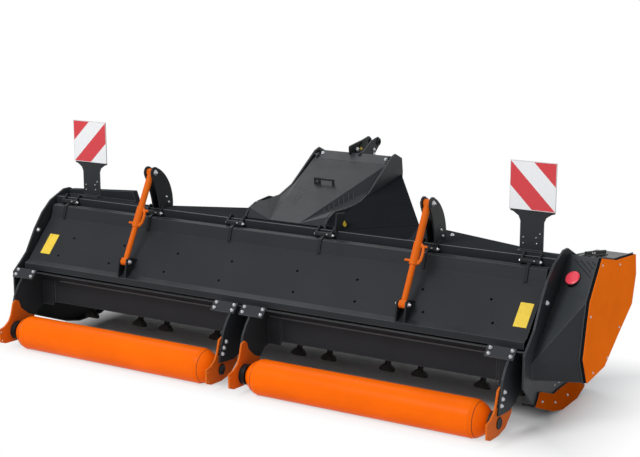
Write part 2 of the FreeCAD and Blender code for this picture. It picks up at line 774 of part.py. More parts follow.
# ------------------------------------------------------------------ boards
def sign_posts():
    low = deck_z
    top = board_z - board_side / 2
    half = post_width / 2
    wide = board_side / 2 - 4
    flare = [(half, top - 66), (half + 12, top - 38), (wide - 20, top - 16), (wide, top - 10),
             (wide, top), (half, top + 90)]
    outline = [(-half, low), (half, low)] + flare + [(-x, z) for x, z in flare[::-1]]
    pieces = []
    for side in (-1, 1):
        points = [(side * board_x + x, z) for x, z in outline]
        y0 = board_y + board_t
        post = prism_y(points, y0, y0 + post_t)
        foot = box(side * board_x - half, side * board_x + half, y0 - 40, y0 + post_t, low, low + 6)
        pieces.append(fuse([post, foot]))
    return Part.makeCompound(pieces)


def sign_boards():
    half = board_side / 2
    pieces = []
    for side in (-1, 1):
        x = side * board_x
        pieces.append(box(x - half, x + half, board_y, board_y + board_t, board_z - half,
                          board_z + half))
    return Part.makeCompound(pieces)


def reflector():
    """Round reflector on the housing's upper rear facet."""
    a = V(half_width, *wall_ring[0])
    b = V(half_width, *wall_ring[1])
    c = V(housing_x, *cover_ring[1])
    normal = (b - a).cross(c - a).normalize()
    if normal.y > 0:
        normal = normal * -1
    centre = a + (b - a) * 0.6 + (c - b) * 0.4
    return Part.makeCylinder(42.0, 12.0, centre, normal)


def nodes():
    made = {
        "side_plate_left": side_plate(-1),
        "side_plate_right": side_plate(1),
        "skid_left": skid(-1),
        "skid_right": skid(1),
        "hood": hood(),
        "deck_beam": deck_beam(),
        "front_beam": front_beam(),
        "rear_wall": rear_wall(),
        "front_flaps": front_flaps(),
        "hammer_rotor": rotor(),
        "rotor_bearing": rotor_bearing(),
        "door": door(),
        "door_straps": door_straps(),
        "hinge_ears": hinge_ears(),
        "stay_brackets": stay_brackets(),
        "belt_housing": belt_housing(),
        "belt_cover": belt_cover(),
        "reflector": reflector(),
        "headstock_plate_left": headstock_plate(-1),
        "headstock_plate_right": headstock_plate(1),
        "headstock_flares": flares(),
        "headstock_top": headstock_top(),
        "headstock_floor": headstock_floor(),
        "gearbox": gearbox(),
        "input_shaft": input_shaft(),
        "drive_tube": drive_tube(),
        "top_link_plates": top_link_plates(),
        "lower_link_left": lower_link(-1),
        "lower_link_right": lower_link(1),
        "lid": lid(),
        "lid_pins": lid_pins(),
        "lid_handle": lid_handle(),
        "sign_posts": sign_posts(),
        "sign_boards": sign_boards(),
    }
    for side, word in ((-1, "left"), (1, "right")):
        made["roller_" + word] = roller(side)
        made["roller_bearings_" + word] = roller_bearings(side)
        made["roller_plates_" + word] = roller_plates(side)
        made["roller_arms_" + word] = roller_arms(side)
        made["horn_" + word] = horn(side)
        made["stay_tube_" + word] = stay_tube(side)
        made["stay_rod_" + word] = stay_lower(side)
    return made


def main():
    os.makedirs("parts", exist_ok=True)
    made = nodes()
    whole = Part.makeCompound(list(made.values())).BoundBox
    origin = V(whole.Center.x, whole.Center.y, whole.ZMin)
    for name, shape in made.items():
        shape.translate(origin * -1)
        shape.exportStep("parts/" + name + ".step")
    print("origin of the working axes", -origin.x, -origin.y, -origin.z)
    print("size", whole.XLength, whole.YLength, whole.ZLength)


main()
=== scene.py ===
"""Looks of the tractor mulcher: finishes, fasteners, louvres, plates, stage and camera."""

import json
import math

import bmesh
import bpy
from mathutils import Matrix, Vector


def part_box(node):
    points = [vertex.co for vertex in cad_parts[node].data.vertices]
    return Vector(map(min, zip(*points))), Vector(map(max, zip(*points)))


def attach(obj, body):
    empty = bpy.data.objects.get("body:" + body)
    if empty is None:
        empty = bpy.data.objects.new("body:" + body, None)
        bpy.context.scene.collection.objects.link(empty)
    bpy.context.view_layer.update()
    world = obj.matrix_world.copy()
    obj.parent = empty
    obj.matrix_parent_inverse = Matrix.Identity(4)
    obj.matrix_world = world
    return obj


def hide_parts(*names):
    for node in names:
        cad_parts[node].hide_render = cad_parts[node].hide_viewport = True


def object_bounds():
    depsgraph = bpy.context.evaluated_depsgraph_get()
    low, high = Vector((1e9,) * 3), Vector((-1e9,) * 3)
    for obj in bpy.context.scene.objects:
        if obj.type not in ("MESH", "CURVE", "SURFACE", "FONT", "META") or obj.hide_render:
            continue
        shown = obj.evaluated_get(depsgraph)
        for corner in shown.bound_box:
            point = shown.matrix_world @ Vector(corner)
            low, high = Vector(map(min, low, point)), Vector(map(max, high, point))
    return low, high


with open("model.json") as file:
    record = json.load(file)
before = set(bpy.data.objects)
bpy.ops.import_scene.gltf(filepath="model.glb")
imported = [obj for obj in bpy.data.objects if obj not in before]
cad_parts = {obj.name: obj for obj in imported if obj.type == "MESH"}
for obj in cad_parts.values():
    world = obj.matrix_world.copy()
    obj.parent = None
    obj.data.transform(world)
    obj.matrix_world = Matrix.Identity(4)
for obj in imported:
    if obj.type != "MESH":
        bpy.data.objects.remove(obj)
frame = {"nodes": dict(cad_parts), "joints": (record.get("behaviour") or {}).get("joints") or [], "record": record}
cad_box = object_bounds()
joints = {joint["name"]: joint for joint in frame["joints"]}

SIDES = {"left": -1, "right": 1}
FORWARD, REARWARD, DOWN = Vector((0, 1, 0)), Vector((0, -1, 0)), Vector((0, 0, -1))


def pivot(joint):
    """Place of a joint at rest, in metres."""
    return Vector(joints[joint]["pos_m"])


# The middle of the machine on its door's hinge line, at ground height. Metres.
middle = pivot("door_hinge")
middle.z = 0.0


def at(x, y, z):
    """Point in millimetres across, forward and up from the middle of the hinge line."""
    return middle + Vector((x, y, z)) / 1000.0


def at_x(x, y, z):
    place = at(0, y, z)
    place.x = x
    return place


# ------------------------------------------------------------------ finishes
# Sockets of the Mix node when it mixes colours.
MIX_FIRST, MIX_SECOND, MIX_RESULT = 6, 7, 2
BEVEL_SAMPLES = 6


def linear(code):
    """Linear colour of a six-digit sRGB code."""
    parts = [int(code[i:i + 2], 16) / 255.0 for i in (0, 2, 4)]
    return tuple(c / 12.92 if c < 0.04045 else ((c + 0.055) / 1.055) ** 2.4 for c in parts)


def tinted(colour, factor):
    """Colour times a factor, at most white."""
    return tuple(min(1.0, c * factor) for c in colour)


class Finish:
    """A node material with the part's own coordinates, built step by step."""

    def __init__(self, name, roughness, metallic=0.0, specular=0.5):
        self.material = bpy.data.materials.new(name)
        self.material.use_nodes = True
        self.nodes = self.material.node_tree.nodes
        self.shader = self.nodes["Principled BSDF"]
        self.shader.inputs["Roughness"].default_value = roughness
        self.shader.inputs["Metallic"].default_value = metallic
        self.shader.inputs["Specular IOR Level"].default_value = specular
        self.place = self.nodes.new("ShaderNodeTexCoord").outputs["Object"]

    def link(self, start, end):
        self.material.node_tree.links.new(start, end)

    def axes(self):
        """The place's X, Y and Z."""
        node = self.nodes.new("ShaderNodeSeparateXYZ")
        self.link(self.place, node.inputs["Vector"])
        return node.outputs

    def noise(self, scale, detail=3.0):
        """Noise in the part's own coordinates."""
        node = self.nodes.new("ShaderNodeTexNoise")
        node.inputs["Scale"].default_value = scale
        node.inputs["Detail"].default_value = detail
        self.link(self.place, node.inputs["Vector"])
        return node.outputs["Fac"]

    def spread(self, value, low, high, start=0.3, end=0.7):
        """Value of start to end spread over low to high."""
        node = self.nodes.new("ShaderNodeMapRange")
        for socket, number in (("From Min", start), ("From Max", end),
                               ("To Min", low), ("To Max", high)):
            node.inputs[socket].default_value = number
        self.link(value, node.inputs["Value"])
        return node.outputs["Result"]

    def mix(self, factor, first, second):
        """Mix of two colours, each a tuple or a socket."""
        node = self.nodes.new("ShaderNodeMix")
        node.data_type = "RGBA"
        self.link(factor, node.inputs["Factor"])
        for index, colour in ((MIX_FIRST, first), (MIX_SECOND, second)):
            if isinstance(colour, tuple):
                node.inputs[index].default_value = (*colour, 1.0)
            else:
                self.link(colour, node.inputs[index])
        return node.outputs[MIX_RESULT]

    def clouds(self, tone, scale, dark, pale, detail=3.0):
        """The tone in soft clouds, from dark to pale times its strength."""
        share = self.spread(self.noise(scale, detail), 0.0, 1.0)
        return self.mix(share, tinted(tone, dark), tinted(tone, pale))

    def maths(self, kind, first, second=0.0):
        """Result of a Math node on values that are floats or sockets."""
        node = self.nodes.new("ShaderNodeMath")
        node.operation = kind
        for socket, value in zip(node.inputs, (first, second)):
            if isinstance(value, float):
                socket.default_value = value
            else:
                self.link(value, socket)
        return node.outputs[0]

    def colour(self, source):
        self.link(source, self.shader.inputs["Base Color"])

    def rough(self, low, high, scale):
        """Roughness that wanders from low to high."""
        self.link(self.spread(self.noise(scale), low, high), self.shader.inputs["Roughness"])

    def rounding(self, radius):
        """Normals as if edges were rounded."""
        node = self.nodes.new("ShaderNodeBevel")
        node.samples = BEVEL_SAMPLES
        node.inputs["Radius"].default_value = radius
        return node.outputs["Normal"]

    def edges(self, radius):
        """1 along outer and inner edges, 0 on flat faces."""
        dot = self.nodes.new("ShaderNodeVectorMath")
        dot.operation = "DOT_PRODUCT"
        self.link(self.rounding(radius), dot.inputs[0])
        self.link(self.nodes.new("ShaderNodeNewGeometry").outputs["Normal"], dot.inputs[1])
        return self.spread(dot.outputs["Value"], low=1.0, high=0.0, start=0.86, end=0.99)

    def surface(self, scale, strength, distance, edge=0.0015):
        """Fine bump over edges that are rounded for the shading."""
        bump = self.nodes.new("ShaderNodeBump")
        bump.inputs["Strength"].default_value = strength
        bump.inputs["Distance"].default_value = distance
        self.link(self.noise(scale, detail=2.0), bump.inputs["Height"])
        self.link(self.rounding(edge), bump.inputs["Normal"])
        self.link(bump.outputs["Normal"], self.shader.inputs["Normal"])


def powder_coat(name, code, highlight_code, roughness, specular):
    """Sprayed coat: clouds of slightly different tone, edges painted pale as a painted highlight, and a fine
    orange peel.
    """
    finish = Finish(name, roughness, specular=specular)
    cloud = finish.clouds(linear(code), scale=4.0, dark=0.93, pale=1.07)
    # The pale colour along the edges is a painted highlight, standing in for light caught by rounded edges.
    finish.colour(finish.mix(finish.edges(radius=0.0045), cloud, linear(highlight_code)))
    finish.rough(roughness - 0.03, roughness + 0.03, scale=9.0)
    finish.surface(scale=650.0, strength=0.1, distance=0.0005)
    return finish.material


def cover_coat(name, code, rim_code):
    """Coat of the belt cover: its thin outer skin in one colour, its folded rim in another."""
    finish = Finish(name, roughness=0.5, specular=0.0)
    skin_depth = 0.005
    outer = finish.maths("GREATER_THAN", finish.axes()["X"],
                         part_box("belt_cover")[1].x - skin_depth)
    cloud = finish.clouds(linear(code), scale=4.0, dark=0.95, pale=1.05)
    finish.colour(finish.mix(outer, linear(rim_code), cloud))
    finish.surface(scale=650.0, strength=0.1, distance=0.0005)
    return finish.material


def plated(name, code, roughness):
    """Zinc plate with a fine, uneven sheen."""
    finish = Finish(name, roughness, metallic=0.85)
    finish.colour(finish.clouds(linear(code), scale=60.0, dark=0.85, pale=1.08))
    finish.rough(roughness - 0.06, roughness + 0.08, scale=120.0)
    finish.surface(scale=900.0, strength=0.1, distance=0.0003, edge=0.0008)
    return finish.material


def forged(name, code):
    """Bare hammer steel with scale and rubbed edges."""
    finish = Finish(name, roughness=0.55, metallic=0.5, specular=0.3)
    tone = linear(code)
    scaly = finish.clouds(tone, scale=35.0, dark=0.5, pale=1.3, detail=6.0)
    finish.colour(finish.mix(finish.edges(radius=0.003), scaly, tinted(tone, 3.0)))
    finish.rough(0.45, 0.7, scale=40.0)
    finish.surface(scale=220.0, strength=0.4, distance=0.0012)
    return finish.material


def plastic(name, code, roughness):
    """Moulded or printed piece with a fine grain and slight mottling."""
    finish = Finish(name, roughness, specular=0.3)
    finish.colour(finish.clouds(linear(code), scale=40.0, dark=0.92, pale=1.05))
    finish.surface(scale=900.0, strength=0.15, distance=0.0003, edge=0.0006)
    return finish.material


def prismatic(name, code):
    """Reflector lens with small cells under a clear face."""
    finish = Finish(name, roughness=0.25, specular=0.4)
    cells = finish.nodes.new("ShaderNodeTexVoronoi")
    cells.inputs["Scale"].default_value = 260.0
    finish.link(finish.place, cells.inputs["Vector"])
    tone = linear(code)
    finish.colour(finish.mix(cells.outputs["Distance"], tinted(tone, 0.85), tinted(tone, 1.1)))
    finish.surface(scale=300.0, strength=0.1, distance=0.0003)
    return finish.material


def striped(name, side):
    """Red and white warning stripes, running down and outwards on each side."""
    low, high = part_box("sign_boards")
    corner_x = low.x if side < 0 else high.x
    finish = Finish(name, roughness=0.42, specular=0.25)
    place = finish.axes()
    inward = finish.maths("MULTIPLY", finish.maths("SUBTRACT", place["X"], corner_x),
                          -float(side))
    height = finish.maths("SUBTRACT", place["Z"], low.z)
    band = finish.maths("DIVIDE", finish.maths("SUBTRACT", inward, height), high.z - low.z)
    red = finish.maths("LESS_THAN", finish.maths("FRACT", band), 0.5)
    cells = finish.spread(finish.noise(700.0, detail=0.0), 0.0, 1.0)
    white = finish.mix(cells, linear("E4E4E6"), linear("EEEEEF"))
    ink = finish.mix(cells, linear("CB3B42"), linear("D6484C"))
    finish.colour(finish.mix(red, white, ink))
    finish.surface(scale=500.0, strength=0.08, distance=0.0004)
    return finish.material


# Sprayed coats: name, colour, colour along the edges (a painted highlight), roughness and specular level.
COATS = {
    "anthracite": ("anthracite_coat", "27292C", "5E6164", 0.45, 0.12),
    "anthracite_dark": ("dark_coat", "1D1F21", "3A3C3F", 0.45, 0.12),
    # The flare coat is a darker copy of the anthracite: painted shade of the headstock's shadow.
    "flare": ("flare_shade_coat", "1E2023", "3A3D40", 0.6, 0.0),
    "deck": ("deck_coat", "2C2E31", "6E7174", 0.6, 0.0),
    # The band coat is a lighter copy of the anthracite: a painted highlight on the lid's top band.
    "band": ("band_highlight_coat", "37393C", "5E6164", 0.45, 0.14),
    "housing": ("housing_coat", "2B2D30", "585B5E", 0.42, 0.14),
    # The panel coat is a lighter copy of the housing coat: painted light on the housing's upper rear facets.
    "panel": ("housing_lit_facet_coat", "3B3E41", "5E6164", 0.42, 0.14),
    # The wall coat is a lighter copy of the anthracite: painted light on the rear wall, roller arms and sign
    # posts, which lie in shade.
    "wall": ("wall_painted_light_coat", "2E3033", "5E6164", 0.45, 0.12),
    # The edge coat is a pale strip colour: a painted highlight along the deck's rear edge and the wall's fold.
    "edge": ("highlight_strip_coat", "5C5F62", "74777A", 0.5, 0.1),
    "cast": ("painted_casting", "2C2E31", "484B4E", 0.55, 0.15),
    "drum": ("drum_coat", "FB6A06", "FF8A28", 0.34, 0.05),
    "stay": ("stay_coat", "D66214", "E8843A", 0.42, 0.06),
    # The skid's orange is darker than that of the drums and stays: partly painted shade.
    "skid": ("skid_painted_shade_coat", "B04A06", "CC6A28", 0.5, 0.0),
    "void": ("hole_shade", "040405", "070708", 0.9, 0.0),
}
finishes = {key: powder_coat(*coat) for key, coat in COATS.items()}
finishes.update({
    "cover": cover_coat("cover_coat", "F47318", "1D1F21"),
    "steel": plated("zinc_plate", "B8B8BC", 0.34),
    "worn_steel": forged("hammer_steel", "2B2A29"),
    "yellow": plastic("yellow_plate", "E9C73F", 0.4),
    "black": plastic("black_plastic", "0C0D0E", 0.5),
    "white": plastic("white_nylon", "DADADC", 0.45),
    "reflector": prismatic("red_lens", "F4485A"),
})
for side_name, side_sign in SIDES.items():
    finishes["stripes_" + side_name] = striped("stripes_" + side_name, side_sign)


# ------------------------------------------------------------------ CAD nodes
# Nodes, named without their side, whose finish isn't that of their slot.
# Of these, the flare coat is painted shade, and the band and wall coats are painted light.
OWN_FINISH = {
    "belt_cover": "cover", "deck_beam": "deck", "headstock_flares": "flare",
    "headstock_top": "band", "lid_handle": "black", "roller": "drum", "roller_arms": "wall",
    "roller_plates": "stay", "side_plate": "housing", "sign_posts": "wall",
    "stay_rod": "stay", "stay_tube": "stay",
}

# Share of a normal along an axis from which a face counts as looking that way.
LOOKS_ALONG, LID_LEANS, HOUSING_LEANS = 0.5, 0.2, 0.3


def board_face(face):
    """Mirrored stripes on the rear of the left and right boards, and dark backs."""
    if face.normal.y > -LOOKS_ALONG:
        return 2
    return 0 if face.center.x < middle.x else 1


def skid_face(face):
    """Orange outer face; all other faces, the sole and the inner side among them, take the dark coat: painted
    shade, and on the sole also wear.
    """
    side = 1 if face.center.x > middle.x else -1
    return 0 if face.normal.x * side > LOOKS_ALONG else 1


def lid_face(face):
    """The lid's left facets get the dark coat: painted shade."""
    return 1 if face.center.x < middle.x and abs(face.normal.x) > LID_LEANS else 0


def housing_face(face):
    """The housing's upper rear facets get the lighter panel coat: painted light."""
    return 1 if face.normal.x < -HOUSING_LEANS and face.normal.z > LOOKS_ALONG else 0


# Nodes with several finishes, and what chooses one of them for a face.
SEVERAL_FINISHES = {
    "sign_boards": (("stripes_left", "stripes_right", "anthracite_dark"), board_face),
    "skid": (("skid", "anthracite_dark"), skid_face),
    "lid": (("anthracite", "anthracite_dark"), lid_face),
    "belt_housing": (("housing", "panel"), housing_face),
}


def dress_frame():
    """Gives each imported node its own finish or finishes, or that of its slot."""
    for part in frame["record"]["subparts"]:
        node = frame["nodes"][part["node"]]
        kind = part["node"].removesuffix("_left").removesuffix("_right")
        single = OWN_FINISH.get(kind, part["material_slot"])
        keys, choose = SEVERAL_FINISHES.get(kind, ((single,), None))
        node.data.materials.clear()
        for key in keys:
            node.data.materials.append(finishes[key])
        if choose:
            for face in node.data.polygons:
                face.material_index = choose(face)


# ------------------------------------------------------------------ places
# Where lines that look for a face start, in millimetres, clear of the machine.
ABOVE, BEHIND, BESIDE = 2000, -1500, 2500


def hit(node, start, direction):
    """Point and outward normal where a line from start first meets a CAD node."""
    found, point, normal, _ = frame["nodes"][node].ray_cast(start, Vector(direction))
    if not found:
        raise ValueError("nothing of " + node + " is met from " + str(start))
    return point, normal


def above(node, x, y):
    """Point and normal on a node, met from above."""
    return hit(node, at(x, y, ABOVE), DOWN)


def behind(node, x, z):
    """Point and normal on a node, met from the rear."""
    return hit(node, at(x, BEHIND, z), FORWARD)


def beside(node, side, y, z):
    """Point and normal on a node, met from the left or the right."""
    return hit(node, at(side * BESIDE, y, z), (-side, 0, 0))


def beside_x(node, x, side, y, z, clear=0.05):
    """Point and normal on a node's side face, met from a little outside x. Both in metres."""
    return hit(node, at_x(x + side * clear, y, z), (-side, 0, 0))


def ends(node):
    """X of a node's left and right ends, each with the direction that leads out there."""
    low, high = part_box(node)
    return (low.x, -1), (high.x, 1)


def spans_along_x(node, gap=0.16):
    """Lowest and highest X of each group of a node's points, in order across the machine."""
    xs = sorted(v.co.x for v in frame["nodes"][node].data.vertices)
    spans = [[xs[0], xs[0]]]
    for x in xs:
        if x - spans[-1][1] > gap:
            spans.append([x, x])
        spans[-1][1] = x
    return spans


def around(count, radius, phase=0.0):
    """Points set evenly round a circle. The phase is in steps from one to the next."""
    angles = [2 * math.pi * (step + phase) / count for step in range(count)]
    return [(radius * math.cos(angle), radius * math.sin(angle)) for angle in angles]


# ------------------------------------------------------------------ base planes
def standing(place, axis):
    """Base plane at a place, with its Z along the axis."""
    turn = Vector(axis).normalized().to_track_quat("Z", "Y").to_matrix().to_4x4()
    return Matrix.Translation(place) @ turn


def facing(place, normal, up=(0, 0, 1)):
    """Base plane on a face, its X level and its Y up the slope."""
    normal = Vector(normal).normalized()
    across = Vector(up).cross(normal).normalized()
    turn = Matrix((across, normal.cross(across), normal)).transposed().to_4x4()
    return Matrix.Translation(place) @ turn


def upright(x):
    """Base plane x millimetres across, its X forward, its Y up and its Z to the right."""
    turn = Matrix(((0, 0, 1), (1, 0, 0), (0, 1, 0))).to_4x4()
    return Matrix.Translation(at(x, 0, 0)) @ turn


# ------------------------------------------------------------------ outlines
def rectangle(x0, y0, x1, y1):
    return [(x0, y0), (x1, y0), (x1, y1), (x0, y1)]


def centred(width, height):
    return rectangle(-width / 2, -height / 2, width / 2, height / 2)


def mirrored(points):
    """Outline of which only the right half is given."""
    return points + [(-x, z) for x, z in points[::-1]]


def shrunk(outline, amount):
    """Outline with each corner moved towards its centre."""
    centre = sum((Vector(corner) for corner in outline), Vector((0, 0))) / len(outline)
    return [Vector(corner) - (Vector(corner) - centre).normalized() * amount
            for corner in outline]


def scaled(profile, size):
    return [(radius * size, height * size) for radius, height in profile]


# ------------------------------------------------------------------ shapes
def add_point(mesh, base, x, y, z):
    """Mesh point in millimetres on a base plane."""
    return mesh.verts.new(base @ (Vector((x, y, z)) / 1000.0))


def skin(mesh, rings, material=0, smooth=False):
    """Faces from each ring of points to the next, and over the first and the last."""
    for low, high in zip(rings, rings[1:]):
        for step in range(len(low)):
            after = (step + 1) % len(low)
            face = mesh.faces.new((low[step], low[after], high[after], high[step]))
            face.smooth = smooth
            face.material_index = material
    for ring in (rings[0], rings[-1]):
        mesh.faces.new(ring).material_index = material


def lathe(mesh, base, profile, segments=20, smooth=True, material=0):
    """Turned form: (radius, height) pairs in millimetres round the base's Z."""
    rings = [[add_point(mesh, base, x, y, height) for x, y in around(segments, radius)]
             for radius, height in profile]
    skin(mesh, rings, material, smooth)


def slab(mesh, base, outline, low, high, inset=0.0, material=0):
    """Plate with an (x, y) outline on the base plane, its top edge cut back by inset."""
    levels = ((low, 0.0), (high - inset, 0.0), (high, inset))
    rings = [[add_point(mesh, base, x, y, height) for x, y in shrunk(outline, amount)]
             for height, amount in levels]
    skin(mesh, rings, material)


def block(mesh, base, outline, thickness, inset):
    """Plate with an (x, z) outline, centred on the base plane's Y, all its edges cut back."""
    half = thickness / 2
    levels = ((-half, inset), (-half + inset, 0), (half - inset, 0), (half, inset))
    rings = [[add_point(mesh, base, x, depth, z) for x, z in shrunk(outline, amount)]
             for depth, amount in levels]
    skin(mesh, rings)


def add_piece(name, mesh, body, finish, more=()):
    """Turns a bmesh into a piece that rides on a body."""
    bmesh.ops.recalc_face_normals(mesh, faces=mesh.faces)
    data = bpy.data.meshes.new(name)
    mesh.to_mesh(data)
    mesh.free()
    for key in (finish, *more):
        data.materials.append(finishes[key])
    piece = bpy.data.objects.new(name, data)
    bpy.context.scene.collection.objects.link(piece)
    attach(piece, body)
    return piece


def add_set(name, body, finish, make, shapes, more=()):
    """Piece of shapes of one kind. Each shape is what its maker takes after the mesh."""
    mesh = bmesh.new()
    for shape in shapes:
        make(mesh, *shape)
    return add_piece(name, mesh, body, finish, more)


def add_labels(name, body, bases, width, height, inset=0.4):
    """Blank yellow plates on base planes."""
    thickness = 1.2
    add_set(name, body, "yellow", slab,
            [(base, centred(width, height), 0, thickness, inset) for base in bases])


# Bolt profiles, as multiples of half the spanner width.
WASHER = [(1.5, 0), (1.5, 0.2), (1.1, 0.26)]
HEXAGON = [(1.15, 0.2), (1.15, 0.75), (1.0, 0.9)]
THREAD_END = [(0.85, 0.85), (0.8, 1.2), (0.55, 1.45), (0.2, 1.55)]
DOMED_HEAD = [(1.35, 0), (1.35, 0.2), (1, 0.3), (0.95, 0.75), (0.65, 1.15), (0.2, 1.3)]


def add_bolt(mesh, place, axis, size):
    """Washer, hexagon head and a domed end. Size is half the spanner width in millimetres."""
    base = standing(place, axis)
    lathe(mesh, base, scaled(WASHER, size), segments=20)
    lathe(mesh, base, scaled(HEXAGON, size), segments=6, smooth=False)
    lathe(mesh, base, scaled(THREAD_END, size), segments=14)


def add_dome(mesh, place, axis, size):
    """Round-headed bolt on a washer."""
    lathe(mesh, standing(place, axis), scaled(DOMED_HEAD, size), segments=18)


def bolts(name, body, seats, size, make=add_bolt, finish="steel"):
    """Row of bolts. Seats are (place, axis) pairs."""
    add_set(name, body, finish, make, [(*seat, size) for seat in seats])


# How far a louvre rises and how long its ends slope, as shares of its width.
LOUVRE_RISE, LOUVRE_SLOPE = 0.35, 0.8


def add_louvre(mesh, start, end, normal, width):
    """Pressed slot from start to end: a raised hood whose mouth on its upper side is a black face, painted shade.
    """
    run = (end - start).normalized()
    across = Vector(normal).cross(run).normalized() * width / 1000.0
    rise = Vector(normal).normalized() * width * LOUVRE_RISE / 1000.0
    slope = run * width * LOUVRE_SLOPE / 1000.0
    lower = [mesh.verts.new(start - across), mesh.verts.new(end - across)]
    upper = [mesh.verts.new(start), mesh.verts.new(end)]
    ridge = [mesh.verts.new(start + slope + rise), mesh.verts.new(end - slope + rise)]
    mesh.faces.new((lower[0], lower[1], ridge[1], ridge[0]))
    mesh.faces.new((lower[0], ridge[0], upper[0]))
    mesh.faces.new((lower[1], upper[1], ridge[1]))
    # The mouth is a black face: painted shade in place of an opening.
    mesh.faces.new((ridge[0], ridge[1], upper[1], upper[0])).material_index = 1


def louvres(name, body, node, strokes, width):
    """Row of pressed slots on a node's upper faces. Strokes are pairs of (x, y) ends."""
    shapes = []
    for first, last in strokes:
        start, normal = above(node, *first)
        shapes.append((start, above(node, *last)[0], normal, width))
    add_set(name, body, "anthracite", add_louvre, shapes, more=("black",))


def strokes_between(first, last, count):
    """Strokes that change evenly from the first to the last."""
    shares = [step / (count - 1) for step in range(count)]
    return [[[a + (b - a) * share for a, b in zip(*pair)] for pair in zip(first, last)]
            for share in shares]


# ------------------------------------------------------------------ rotor and rear wall
# Rotor sizes in millimetres, from its axis and from the middle of the machine.
TUBE_RADIUS, TUBE_HALF_LENGTH, SHAFT_RADIUS = 95, 1808, 45
HEAD = mirrored([(0, 291), (34, 290), (45, 285), (46, 276), (42, 265), (30, 254), (13, 243)])
SHANK = mirrored([(12, 246), (12, 96)])
LUG = mirrored([(22, 186), (38, 160), (40, 84)])
NUT = [(15, 0), (15, 11), (13, 13)]
# Hammers hang in pairs. Each row is shifted across and turned on from the one before.
PAIRS, PAIR_PITCH, PAIR_START, PAIR_GAP, LAST_HAMMER = range(-3, 3), 636, 108, 222, 1750
ROW_SHIFTS, FIRST_ROW_DEGREES = (0, 212, -168), 160
# Places of the lugs and their nuts on a hammer's own axes, in metres.
LUG_ACROSS, NUT_ACROSS, NUT_OUT = 0.028, 0.034, 0.165


def build_rotor():
    """Tube, shaft, and 33 mushroom hammers in three rows, hung in pairs on bolted lugs."""
    spin = pivot("rotor_spin")
    mesh = bmesh.new()
    axis = standing(Vector((0, spin.y, spin.z)), (1, 0, 0))
    tube = [at(side * TUBE_HALF_LENGTH, 0, 0).x for side in SIDES.values()]
    shaft = [x for x, _ in ends("hammer_rotor")]
    for radius, xs, segments in ((TUBE_RADIUS, tube, 48), (SHAFT_RADIUS, shaft, 32)):
        lathe(mesh, axis, [(radius, x * 1000.0) for x in xs], segments)
    for row, shift in enumerate(ROW_SHIFTS):
        degrees = FIRST_ROW_DEGREES + 360 / len(ROW_SHIFTS) * row
        turn = Matrix.Translation(spin) @ Matrix.Rotation(math.radians(degrees), 4, "X")
        for pair in PAIRS:
            for offset in (0, PAIR_GAP):
                x = PAIR_PITCH * pair + PAIR_START + offset + shift
                if abs(x) <= LAST_HAMMER:
                    add_hammer(mesh, turn @ Matrix.Translation((at(x, 0, 0).x - spin.x, 0, 0)))
    piece = add_piece("rotor_and_hammers", mesh, "rotor", "worn_steel", ("steel",))
    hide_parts("hammer_rotor")


def add_hammer(mesh, base):
    """Mushroom head on a flat shank, between two lugs with a nut on each."""
    block(mesh, base, HEAD, thickness=50, inset=4)
    block(mesh, base, SHANK, thickness=34, inset=2)
    for side in SIDES.values():
        lug = base @ Matrix.Translation((side * LUG_ACROSS, 0, 0))
        block(mesh, lug @ Matrix.Rotation(math.pi / 2, 4, "Z"), LUG, thickness=12, inset=1.5)
        nut = base @ Matrix.Translation((side * NUT_ACROSS, 0, NUT_OUT))
        lathe(mesh, nut @ Matrix.Rotation(side * math.pi / 2, 4, "Y"), NUT,
              segments=6, smooth=False, material=1)


def build_rear_wall():
    """Folded wall below the door, with a hemmed lower edge and seams between its sheets."""
    low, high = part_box("rear_wall")
    lip, rear, ledge = at(0, -180, 0).y, at(0, -235, 0).y, low.y
    foot, fold, top = low.z + 0.036, 0.398, high.z
    bend, sheet = 0.004, 0.008
    outer = [(lip, foot), (rear + bend, foot), (rear, foot + bend), (rear, fold),
             (rear - bend / 2, fold + bend), (ledge, top - sheet)]
    inner = [(ledge + 0.006, top), (rear + 0.006, fold + 0.010), (rear + sheet, fold + bend),
             (rear + sheet, foot + 0.010), (rear + 0.010, foot + sheet), (lip, foot + sheet)]
    mesh = bmesh.new()
    skin(mesh, [[mesh.verts.new((x, y, z)) for y, z in outer + inner]
                for x in (low.x, high.x)])
    # Upright seams, and a pale strip along the fold as a painted highlight. Their heights are from the face's
    # middle.
    face = facing(Vector((0, rear, 0.315)), REARWARD)
    for x in (-1650, -165, 165, 1595):
        seam = at(x, 0, 0).x * 1000.0
        slab(mesh, face, rectangle(seam - 3, -78, seam + 3, 80), low=-0.5, high=1.6, inset=0.8)
    half = high.x * 1000 - 30
    slab(mesh, face, rectangle(-half, 77, half, 84), low=-0.5, high=1.4, inset=0.6, material=1)
    piece = add_piece("rear_wall_sheet", mesh, "root", "wall", ("edge",))
    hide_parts("rear_wall")


# ------------------------------------------------------------------ door, rollers and boards
NIPPLE = [(5, 0), (5, 4), (3, 5), (3, 9), (2, 11)]


def hinge_details():
    """Bolt ends on the outer faces of the ears and a grease nipple on each barrel."""
    hinge = pivot("door_hinge")
    seats = [(Vector((x, hinge.y, hinge.z)), (side, 0, 0))
             for span in spans_along_x("hinge_ears") for x, side in zip(span, SIDES.values())]
    bolts("hinge_bolts", "root", seats, size=9)
    # From the middle of a strap's barrel to its nipple, in metres.
    offset = Vector((0.03, -0.0165, 0.0065))
    places = [Vector(((low + high) / 2, hinge.y, hinge.z)) + offset
              for low, high in spans_along_x("door_straps")]
    add_set("hinge_nipples", "door", "steel", lathe,
            [(standing(place, (0, -1, 0.4)), NIPPLE, 10) for place in places])


